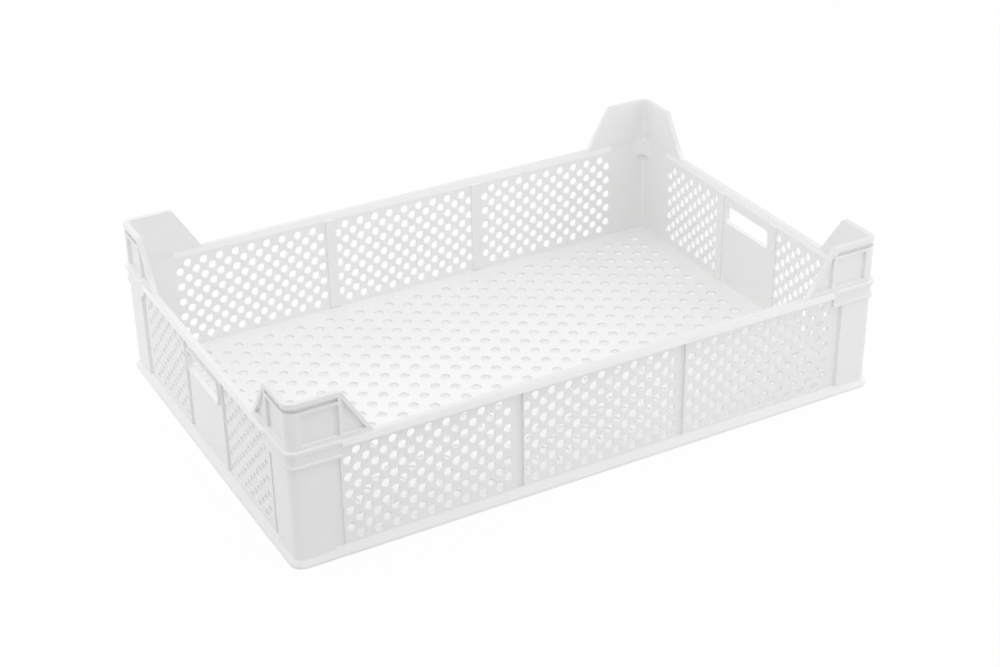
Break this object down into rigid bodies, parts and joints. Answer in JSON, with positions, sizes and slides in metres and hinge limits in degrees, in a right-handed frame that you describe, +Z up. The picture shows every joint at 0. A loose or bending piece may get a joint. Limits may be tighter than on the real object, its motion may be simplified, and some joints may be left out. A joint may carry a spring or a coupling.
{
  "type": "perforated stacking crate",
  "caption": "Low rectangular harvest crate with perforated walls and floor, stiffening channels, raised corner ears for stacking and a hand slot in each end wall.",
  "frame": {"origin": "centre of the footprint, on the plane the crate stands on", "axes": "+X along the long walls, +Y across towards the back wall, +Z up"},
  "size_m": [0.6, 0.4, 0.157],
  "materials": {
    "polyethylene": "satin moulded surface, white and slightly translucent"
  },
  "bodies": {
    "root": {"channel_back_1": "polyethylene", "channel_back_2": "polyethylene", "channel_back_3": "polyethylene", "channel_back_4": "polyethylene", "channel_front_1": "polyethylene", "channel_front_2": "polyethylene", "channel_front_3": "polyethylene", "channel_front_4": "polyethylene", "channel_left_1": "polyethylene", "channel_left_2": "polyethylene", "channel_left_3": "polyethylene", "channel_left_4": "polyethylene", "channel_right_1": "polyethylene", "channel_right_2": "polyethylene", "channel_right_3": "polyethylene", "channel_right_4": "polyethylene", "corner_post_back_left": "polyethylene", "corner_post_back_right": "polyethylene", "corner_post_front_left": "polyethylene", "corner_post_front_right": "polyethylene", "floor_plate": "polyethylene", "foot_rail_back": "polyethylene", "foot_rail_front": "polyethylene", "foot_rail_left": "polyethylene", "foot_rail_right": "polyethylene", "handle_panel_left": "polyethylene", "handle_panel_right": "polyethylene", "panel_back_1": "polyethylene", "panel_back_2": "polyethylene", "panel_back_3": "polyethylene", "panel_front_1": "polyethylene", "panel_front_2": "polyethylene", "panel_front_3": "polyethylene", "panel_left_1": "polyethylene", "panel_left_2": "polyethylene", "panel_right_1": "polyethylene", "panel_right_2": "polyethylene", "rim_rail_back": "polyethylene", "rim_rail_front": "polyethylene", "rim_rail_left": "polyethylene", "rim_rail_right": "polyethylene", "stacking_ear_back_left": "polyethylene", "stacking_ear_back_right": "polyethylene", "stacking_ear_front_left": "polyethylene", "stacking_ear_front_right": "polyethylene"}
  },
  "joints": []
}
